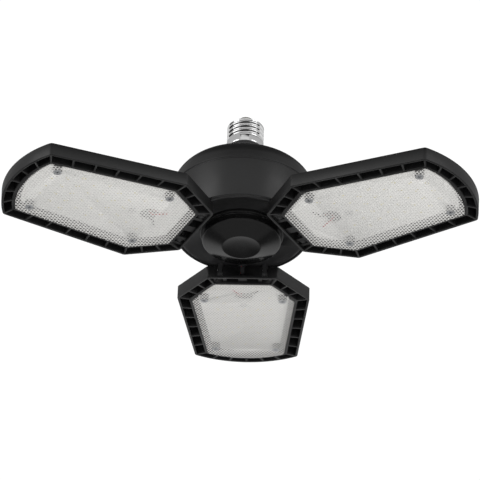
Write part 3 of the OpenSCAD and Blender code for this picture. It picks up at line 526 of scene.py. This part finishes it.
dome = turned([(SIDE_R - WALL, SEAM_Z), (SEAM_R - 0.5, SEAM_Z), (SEAM_R - 0.5, SEAM_Z + 0.5),
               (SEAM_R, SEAM_Z + 0.9)] + dome_line(0)
              + [(spigot_r, crown_top), (spigot_r, crown_top - WALL)] + dome_line(WALL)[::-1], 128)
post_top = crown_z + (crown_r - POST_AT - POST_R) * tan(CROWN) - 1
for w in POST_TURNS:
    post = bmesh.ops.create_cone(dome, cap_ends=True, segments=32, radius1=POST_R * MM,
                                 radius2=POST_R * MM, depth=(post_top - PLATE_TOP) * MM)["verts"]
    bmesh.ops.translate(dome, verts=post, vec=(0, 0, (post_top + PLATE_TOP) / 2 * MM))
    outward = Matrix.Rotation(radians(w), 3, "Z") @ Vector((POST_AT * MM, 0, 0))
    bmesh.ops.translate(dome, verts=post, vec=outward)
print("dome edges rounded:", round_edges(dome, 0.2))
finish_piece("dome_moulding", dome, "hub", [hub_black], ["top_cover"])

grooves = []
for low in (-8.4, -4.6):
    grooves += [(NECK_R - sunk * GROOVE, (low + up) * GROOVE)
                for sunk, up in ((0, 0), (1, 0.8), (1, 2.0), (0, 2.8))]
core_r, core_top = CREST_R - DEPTH - 0.5, THREAD_TOP - 1.4
neck = turned([(NECK_BORE, crown_top - 3), (spigot_r - 0.05, crown_top - 3),
               (spigot_r - 0.05, crown_top), (NECK_R + 1.4, crown_top), (NECK_R + 0.5, crown_top + 0.5),
               (NECK_R, crown_top + 1.6)] + grooves
              + [(NECK_R, 0), (core_r, 0), (core_r, core_top), (NECK_BORE, core_top)], 96)
round_edges(neck, 0.12)
finish_piece("neck_moulding", neck, "hub", [neck_black_painted_reflection], ["neck"])

housing = turned([(SEAT_R, UNDER_Z), (RIM_R, UNDER_Z), (SEAM_R - 0.1, SEAM_Z - 0.6),
                  (SEAM_R - 0.5, SEAM_Z - 0.3), (SEAM_R - 0.5, SEAM_Z), (SIDE_R - WALL - 0.6, SEAM_Z),
                  (SIDE_R - WALL - 0.6, SEAM_Z - 3), (SEAT_R - 1.4, PLATE_TOP + 4),
                  (SEAT_R - 1.4, PLATE_TOP), (SEAT_R, PLATE_TOP)], 128)
round_edges(housing, 0.35, 3)
finish_piece("housing_moulding", housing, "hub", [hub_black], ["housing"])

# %% [markdown]
# Under the hub sits a glossy trim: a thin upright rim, a rounded edge, a shallow cone and a flat
# button in the middle. It is the shiniest plastic on the lamp and mirrors what is round it, so
# its edges are rounded more finely. A collar inside clips it into the hinge plate.

# %% Centre cover
RECESS_Z, COVER_R, COVER_Z = -71.5, 28.8, -73.8
COVER_WALL_R, EDGE_R, EDGE_Z = 26.8, 27.3, -79.1
BUTTON_R, BUTTON_Z = 13.1, -83.6
COVER_WALL, COLLAR_BORE, COLLAR_R = 1.8, 10.6, 12.2
rim = [(COVER_R, RECESS_Z), (COVER_R, COVER_Z + 0.4), (COVER_R - 0.12, COVER_Z + 0.12),
       (COVER_R - 0.4, COVER_Z), (COVER_WALL_R + 0.6, COVER_Z), (COVER_WALL_R + 0.15, COVER_Z - 0.05),
       (COVER_WALL_R, COVER_Z - 0.3)]
edge = [(EDGE_R - 0.03, EDGE_Z + 0.9), (EDGE_R, EDGE_Z + 0.55), (EDGE_R - 0.1, EDGE_Z + 0.25),
        (EDGE_R - 0.35, EDGE_Z), (EDGE_R - 0.75, EDGE_Z - 0.2), (EDGE_R - 1.6, EDGE_Z - 0.47)]
button = [(BUTTON_R + 1.0, BUTTON_Z + 0.25), (BUTTON_R + 0.25, BUTTON_Z + 0.03), (BUTTON_R, BUTTON_Z),
          (BUTTON_R - 0.3, BUTTON_Z + 0.03), (BUTTON_R * 0.8, BUTTON_Z + 0.26),
          (BUTTON_R * 0.5, BUTTON_Z + 0.45), (0, BUTTON_Z + 0.55)]
inside = [(0, BUTTON_Z + 2.3), (BUTTON_R - 1.8, BUTTON_Z + 2.1), (EDGE_R - 2.1, EDGE_Z + 1.8),
          (COVER_WALL_R - COVER_WALL, COVER_Z), (COVER_WALL_R - COVER_WALL, RECESS_Z)]
cover = turned(rim + edge + button + inside, 128)
collar = turned([(COLLAR_BORE, BUTTON_Z + 2), (COLLAR_R, BUTTON_Z + 2), (COLLAR_R, PLATE_TOP + 0.2),
                 (COLLAR_R + 0.6, PLATE_TOP + 0.5), (COLLAR_R - 0.4, PLATE_TOP + 2.4),
                 (COLLAR_BORE, PLATE_TOP + 2.4)], 96)
collar_mesh = bpy.data.meshes.new("collar")
collar.to_mesh(collar_mesh)
collar.free()
cover.from_mesh(collar_mesh)
bpy.data.meshes.remove(collar_mesh)
finish_piece("centre_trim", cover, "hub", [trim_black], ["centre_cover"], sharp=50)


# %% [markdown]
# Some shapes are right as the CAD has them, with slots, lugs, fins and bores, and only lack the
# small roundings of a moulding. A CAD mesh is loose triangles, so a copy is merged, its flat
# triangles are dissolved, and chosen edges are bevelled. Each frame's copy is turned level first,
# so that its rims can be picked at the same heights on all three panels.


# %% Merged copies of CAD nodes
def merged_copy(node, place=None):
    bm = bmesh.new()
    bm.from_mesh(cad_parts[node].data)
    bmesh.ops.remove_doubles(bm, verts=bm.verts, dist=0.001 * MM)
    if place:
        bmesh.ops.transform(bm, matrix=place.inverted(), verts=bm.verts)
    bmesh.ops.dissolve_limit(bm, angle_limit=radians(0.6), verts=bm.verts, edges=bm.edges)
    return bm


def on_plate_rim(edge):
    return all(hypot(v.co.x, v.co.y) > 44 * MM and v.co.z < -71 * MM for v in edge.verts)


plate = merged_copy("hinge_plate")
print("plate edges rounded:", round_edges(plate, 0.15, 2, 25, on_plate_rim))
finish_piece("hinge_plate_moulding", plate, "hub", [plate_black], ["hinge_plate"])

# %% [markdown]
# A panel frame is one casting: an outer wall with a ring of open cells, a light box in the
# middle, cooling fins on its back and lugs for the hinge pins. The rims of its walls are what
# the eye follows from below, so those edges are rounded and the rest stays crisp.

# %% Panel frames
FRAME_RIM, FRAME_TOP = -84.1, -75.0


def on_rim(edge):
    heights = [v.co.z / MM for v in edge.verts]
    return any(all(abs(h - level) < 0.02 for h in heights) for level in (FRAME_RIM, FRAME_TOP))


for side in PANELS:
    place = panel_place(side)
    cast = merged_copy(f"{side}_frame", place)
    print(side, "frame edges rounded:", round_edges(cast, 0.3, 2, 40, on_rim))
    finish_piece(f"{side}_frame_moulding", cast, f"{side}_panel", [panel_black],
                 [f"{side}_frame"], place)

# %% [markdown]
# The lens is a flat tray pressed into the light box: a plate, a thin flange that stands on the
# box's floor, and four countersunk holes. Its plate gets a flat map in millimetres, from which
# the honeycomb is drawn; the flange and the bores are plain clear plastic.

# %% Lenses
for side in PANELS:
    place = panel_place(side)
    pane = merged_copy(f"{side}_lens", place)
    mapping = pane.loops.layers.uv.new("panel_mm")
    for face in pane.faces:
        for loop in face.loops:
            loop[mapping].uv = (loop.vert.co.x / MM, loop.vert.co.y / MM)
        face.normal_update()
        face.material_index = 0 if face.normal.z < -0.9 else 1
    finish_piece(f"{side}_lens_pane", pane, f"{side}_panel", [lens_prism, lens_rim],
                 [f"{side}_lens"], place)

# %% [markdown]
# Each LED is a small white package with a sunk window of yellow phosphor. Insetting the top
# face of every package and pushing it in makes the window of all of them at once.

# %% LED packages
WINDOW_INSET, WINDOW_DEPTH = 0.45, 0.12
for side in PANELS:
    place = panel_place(side)
    packs = merged_copy(f"{side}_leds", place)
    tops = [f for f in packs.faces if f.normal.z < -0.9]
    bmesh.ops.inset_individual(packs, faces=tops, thickness=WINDOW_INSET * MM,
                                depth=-WINDOW_DEPTH * MM)
    for f in tops:
        f.material_index = 1
    finish_piece(f"{side}_led_packages", packs, f"{side}_panel", [led_package, led_phosphor],
                 [f"{side}_leds"], place)


# %% [markdown]
# Every screw on the lamp has a cross recess. The head's face is filled between a circle and a
# small cross, the cross is pushed in and narrowed, and the rim is drawn out into a cone or a
# round head and then the shank. One function serves the lens, board, case and driver screws.

# %% Cross-head screws
SHANK_R, HEAD_R, HEAD_H = 1.45, 2.8, 1.2
ARM, ARM_HALF, CROSS_DEPTH, CROSS_TAPER = 1.6, 0.36, 0.9, 0.55


def cross_screw(bm, at, length, flush, flip=False):
    before = set(bm.verts)
    ring = bmesh.ops.create_circle(bm, segments=32, radius=HEAD_R * MM)["verts"]
    rim = list({e for v in ring for e in v.link_edges})
    arm, half = ARM * MM, ARM_HALF * MM
    corners = [(half, arm), (-half, arm), (-half, half), (-arm, half), (-arm, -half), (-half, -half),
               (-half, -arm), (half, -arm), (half, -half), (arm, -half), (arm, half), (half, half)]
    cross = [bm.verts.new((x, y, 0)) for x, y in corners]
    sides = [bm.edges.new(pair) for pair in zip(cross, cross[1:] + cross[:1])]
    bmesh.ops.triangle_fill(bm, use_beauty=True, edges=rim + sides)
    grown = bmesh.ops.extrude_edge_only(bm, edges=sides)["geom"]
    deep = [g for g in grown if isinstance(g, bmesh.types.BMVert)]
    bmesh.ops.scale(bm, vec=(CROSS_TAPER, CROSS_TAPER, 1), verts=deep)
    bmesh.ops.translate(bm, vec=(0, 0, CROSS_DEPTH * MM), verts=deep)
    bmesh.ops.contextual_create(bm, geom=[g for g in grown if isinstance(g, bmesh.types.BMEdge)])
    if flush:
        rings = [(HEAD_R, 0.15), (SHANK_R + 0.1, HEAD_H)]
    else:
        bmesh.ops.scale(bm, vec=(0.82, 0.82, 1), verts=ring)
        rings = [(HEAD_R * 0.95, 0.18), (HEAD_R, 0.5), (HEAD_R, HEAD_H), (SHANK_R, HEAD_H)]
    rings += [(SHANK_R, HEAD_H + 0.4), (SHANK_R, length - 1), (SHANK_R * 0.5, length)]
    tip = draw_out(bm, rim, rings)
    bmesh.ops.contextual_create(bm, geom=tip)
    made = [v for v in bm.verts if v not in before]
    if flip:
        bmesh.ops.scale(bm, vec=(1, 1, -1), verts=made)
    bmesh.ops.translate(bm, vec=Vector(at) * MM, verts=made)


def screw_set(name, places, body, replaces, place=None, flush=False, flip=False, length=6.0):
    bm = bmesh.new()
    for at in places:
        cross_screw(bm, at, length, flush, flip)
    close_up(bm)
    finish_piece(name, bm, body, [zinc_steel], [replaces], place, sharp=40)


LENS_Z, BOARD_Z, FLOOR_TOP = -84.9, -80.4, -77.3
lens_spots = [(70, 28, LENS_Z), (70, -28, LENS_Z), (149.5, 22.4, LENS_Z), (149.5, -22.4, LENS_Z)]
for side in PANELS:
    place, body = panel_place(side), f"{side}_panel"
    screw_set(f"{side}_lens_cross_screws", lens_spots, body, f"{side}_lens_screws", place, True,
              length=FLOOR_TOP - LENS_Z)
    screw_set(f"{side}_board_cross_screw", [(84.3, 0, BOARD_Z - HEAD_H)], body, f"{side}_board_screw",
              place, length=HEAD_H + 4)


def round_the_hub(radius, angles, z):
    return [(radius * cos(radians(w)), radius * sin(radians(w)), z) for w in angles]


DRIVER_TOP, DRIVER_T, DRIVER_SCREW_AT = -58.5, 1.6, 31
PLATE_T = PLATE_TOP - RECESS_Z
screw_set("case_cross_screws", round_the_hub(POST_AT, POST_TURNS, RECESS_Z), "hub", "case_screws",
          length=PLATE_T + 9)
screw_set("driver_cross_screws", round_the_hub(DRIVER_SCREW_AT, (90, 210, 330), DRIVER_TOP + HEAD_H),
          "hub", "driver_screws", flip=True, length=HEAD_H + DRIVER_T + 4)


# %% [markdown]
# A red and a black lead run from the hub through a rubber bush, dip past the hinge pins, lie in
# a channel on the panel's back, come through the cable hole and end at the light board's pads.
# They must bend when a panel folds; here each is one smooth tube along a curve, drawn where the
# panel stands at rest and tied to neither hub nor panel, so nothing bends it. A soft black sleeve
# keeps the pair together where they bend: a round tube, stretched sideways to an oval.

# %% Panel leads and sleeves
WIRE_R, SLEEVE_R, SLEEVE_WIDE = 0.65, 0.95, 2.0
RED_PAD, BLACK_PAD = (60.7, 7.4), (62, -10.4)


def bent_tube(name, points, radius, place, material, replaces=(), widen=1.0):
    data = bpy.data.curves.new(name, "CURVE")
    data.dimensions = "3D"
    data.bevel_depth = radius * MM
    data.bevel_resolution = 3
    data.use_fill_caps = True
    spline = data.splines.new("BEZIER")
    spline.resolution_u = 6
    spline.bezier_points.add(len(points) - 1)
    for knot, point in zip(spline.bezier_points, points):
        knot.co = Vector(point) * MM
        knot.handle_left_type = knot.handle_right_type = "AUTO"
    curve = bpy.data.objects.new(name + "_path", data)
    mesh = bpy.data.meshes.new_from_object(curve)
    bpy.data.objects.remove(curve)
    mesh.transform(place @ Matrix.Diagonal((1, widen, 1, 1)))
    mesh.name = name
    mesh.materials.clear()
    mesh.materials.append(material)
    for face in mesh.polygons:
        face.use_smooth = True
    piece = bpy.data.objects.new(name, mesh)
    bpy.context.scene.collection.objects.link(piece)
    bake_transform(piece)
    if replaces:
        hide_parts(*replaces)
    return piece


def hinge_bend(v, start):
    return [(39.5, v, start), (39.5, v, -77.3), (40.2, v, -78.4), (41.4, v, -77.6), (42.5, v, -76.85)]


def lead_points(sign, pad):
    v = sign * 1.1
    rest, front = FLOOR_TOP + WIRE_R + 0.1, BOARD_Z - WIRE_R - 0.1
    return hinge_bend(v, -75.5) + [
        (43.8, v, rest + 0.02), (50, v, rest), (58, v * 1.15, rest), (66, v, rest),
        (69.6, v, rest - 0.5), (71.6, v * 1.4, -79.0), (70.2, v * 2, -80.8), (67, sign * 3.4, front),
        (pad[0] + 1.5, pad[1] * 0.86, front), (*pad, front)]


for side in PANELS:
    place, body = panel_place(side), f"{side}_panel"
    bent_tube(f"{side}_red_flex", lead_points(1, RED_PAD), WIRE_R * 1.02, place, wire_red,
              [f"{side}_red_lead"])
    bent_tube(f"{side}_black_flex", lead_points(-1, BLACK_PAD), WIRE_R * 1.02, place,
              wire_black, [f"{side}_black_lead"])
    bent_tube(f"{side}_lead_sleeve", hinge_bend(0, -73.4), SLEEVE_R, place, bush_rubber,
              widen=SLEEVE_WIDE / SLEEVE_R)
print("panel leads: 6, sleeves: 3")

# %% [markdown]
# Everything else keeps its CAD shape: driver parts, pins, washers, boards and bushes are already
# right, and only need their finishes.

# %% Finishes for the CAD nodes
NODE_FINISH = {
    "centre_contact": contact_metal, "contact_insulator": cap_insulator,
    "driver_board": driver_green, "transformer_core": ferrite, "transformer_winding": winding_tape,
    "bulk_capacitors": capacitor_sleeve, "film_capacitor": film_case, "line_choke": copper_turns,
    "bridge_rectifier": chip_black, "switching_transistor": chip_black,
    "fuse_resistor": resistor_body, "live_wire": wire_brown, "neutral_wire": wire_white,
    "red_output_leads": wire_red, "black_output_leads": wire_black, "lead_bushes": bush_rubber,
    "led_board": light_board, "pivot_pins": zinc_steel, "friction_washers": washer_nylon,
}
dressed = 0
for name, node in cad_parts.items():
    if node.hide_render:
        continue
    kind = name.split("_", 1)[1] if name.split("_")[0] in PANELS else name
    node.data.materials.clear()
    node.data.materials.append(NODE_FINISH[kind])
    dressed += 1
print("CAD nodes dressed:", dressed)

# %% [markdown]
# The lamp hangs in a white studio, and a pale floor lies well below it. The floor is matt, so
# that it mirrors nothing, and its paint drifts a little.

# %% Floor
FLOOR_Z, FLOOR_R = -1.35, 1.1
floor = bpy.data.meshes.new("studio_floor")
bm = bmesh.new()
bmesh.ops.create_circle(bm, cap_ends=True, segments=64, radius=FLOOR_R)
bmesh.ops.translate(bm, vec=(0, 0, FLOOR_Z), verts=bm.verts)
bm.to_mesh(floor)
bm.free()
floor_piece = bpy.data.objects.new("studio_floor", floor)
bpy.context.scene.collection.objects.link(floor_piece)
paint = Finish("floor_paint", Roughness=0.8)
paint.set("Base Color", paint.blend(paint.noise(3), (0.70, 0.70, 0.695), (0.76, 0.76, 0.755)))
floor.materials.append(paint.material)

# %% [markdown]
# The walls are white, as round a product on a cut-out page, but dim overhead and underfoot, so
# that the black plastic keeps its depth and the screw shell gets its dark bands. Two ramps over
# height do this, one for the middle and one for the sides. Three dark patches, in front and at
# the sides, stand for the unlit side of a studio: the thread mirrors them. A faint one high at
# the back lights the top of the dome. One soft lamp below fills the lenses, and two at the front
# sides draw soft lines on the edges.

# %% Surroundings and lamps
world = bpy.data.worlds.new("white_studio")
bpy.context.scene.world = world
world.use_nodes = True
tree = world.node_tree
tree.nodes.clear()


def world_node(kind, **settings):
    node = tree.nodes.new(kind)
    for key, value in settings.items():
        setattr(node, key, value)
    return node


heading = world_node("ShaderNodeTexCoord")
parts = world_node("ShaderNodeSeparateXYZ")
tree.links.new(heading.outputs["Generated"], parts.inputs[0])
lift = world_node("ShaderNodeMapRange")
lift.inputs["From Min"].default_value = -1
tree.links.new(parts.outputs["Z"], lift.inputs["Value"])


def bands(steps):
    node = world_node("ShaderNodeValToRGB")
    ramp = node.color_ramp
    for element, (position, shade) in zip(ramp.elements, (steps[0], steps[-1])):
        element.position, element.color = position, (shade, shade, shade, 1)
    for position, shade in steps[1:-1]:
        ramp.elements.new(position).color = (shade, shade, shade, 1)
    tree.links.new(lift.outputs[0], node.inputs[0])
    return node.outputs[0]


middle = bands([(0, 0.12), (0.2, 0.12), (0.28, 0.9), (0.58, 0.8), (0.70, 0.8), (0.81, 0.8),
                (0.83, 0.02), (1, 0.02)])
sides = bands([(0, 0.12), (0.2, 0.12), (0.28, 0.9), (0.58, 0.8), (0.70, 0.6), (0.88, 0.5),
               (0.93, 0.1), (1, 0.1)])
breadth = world_node("ShaderNodeMath", operation="ABSOLUTE")
tree.links.new(parts.outputs["X"], breadth.inputs[0])
facing = world_node("ShaderNodeMapRange")
facing.inputs["From Min"].default_value = 0.3
facing.inputs["From Max"].default_value = 0.45
tree.links.new(breadth.outputs[0], facing.inputs["Value"])
room = world_node("ShaderNodeMix", data_type="RGBA")
tree.links.new(facing.outputs[0], room.inputs[0])
tree.links.new(middle, room.inputs[6])
tree.links.new(sides, room.inputs[7])


def patch(colour, direction, half_width, shade):
    near = world_node("ShaderNodeVectorMath", operation="DOT_PRODUCT")
    tree.links.new(heading.outputs["Generated"], near.inputs[0])
    near.inputs[1].default_value = Vector(direction).normalized()
    edge = world_node("ShaderNodeMapRange")
    edge.inputs["From Min"].default_value = cos(radians(half_width + 2))
    edge.inputs["From Max"].default_value = cos(radians(half_width - 2))
    tree.links.new(near.outputs["Value"], edge.inputs["Value"])
    mixed = world_node("ShaderNodeMix", data_type="RGBA")
    tree.links.new(edge.outputs[0], mixed.inputs[0])
    tree.links.new(colour, mixed.inputs[6])
    mixed.inputs[7].default_value = (shade, shade, shade, 1)
    return mixed.outputs[2]


PATCHES = [((0.03, -0.80, -0.60), 25, 0.02), ((-0.95, 0.05, -0.32), 18, 0.02),
           ((0.95, 0.0, -0.42), 9, 0.05), ((0, 0.55, 0.83), 25, 0.12)]
walls = room.outputs[2]
for direction, half_width, shade in PATCHES:
    walls = patch(walls, direction, half_width, shade)
around = world_node("ShaderNodeBackground")
tree.links.new(walls, around.inputs["Color"])
around.inputs["Strength"].default_value = 0.8
page = world_node("ShaderNodeBackground")
page.inputs["Color"].default_value = (1, 1, 1, 1)
page.inputs["Strength"].default_value = 1.05
ray = world_node("ShaderNodeLightPath")
either = world_node("ShaderNodeMixShader")
tree.links.new(ray.outputs["Is Camera Ray"], either.inputs[0])
tree.links.new(around.outputs[0], either.inputs[1])
tree.links.new(page.outputs[0], either.inputs[2])
world_out = world_node("ShaderNodeOutputWorld")
tree.links.new(either.outputs[0], world_out.inputs["Surface"])
bpy.context.scene.view_settings.view_transform = "Standard"


def soft_lamp(name, at, aim, size, watts):
    data = bpy.data.lights.new(name, "AREA")
    data.shape = "SQUARE"
    data.size = size
    data.energy = watts
    lamp = bpy.data.objects.new(name, data)
    direction = (Vector(aim) - Vector(at)).normalized()
    lamp.matrix_world = Matrix.Translation(at) @ direction.to_track_quat("-Z", "Y").to_matrix().to_4x4()
    bpy.context.scene.collection.objects.link(lamp)
    return lamp


fill = soft_lamp("lens_fill", (0.3, -0.9, -1.1), (0, 0, -0.07), 0.9, 12)
fill.visible_glossy = False
soft_lamp("left_box", (-1.35, -0.95, 0.25), (0, 0, -0.05), 1.0, 5)
soft_lamp("right_box", (1.35, -0.95, 0.3), (0, 0, -0.05), 0.9, 3)
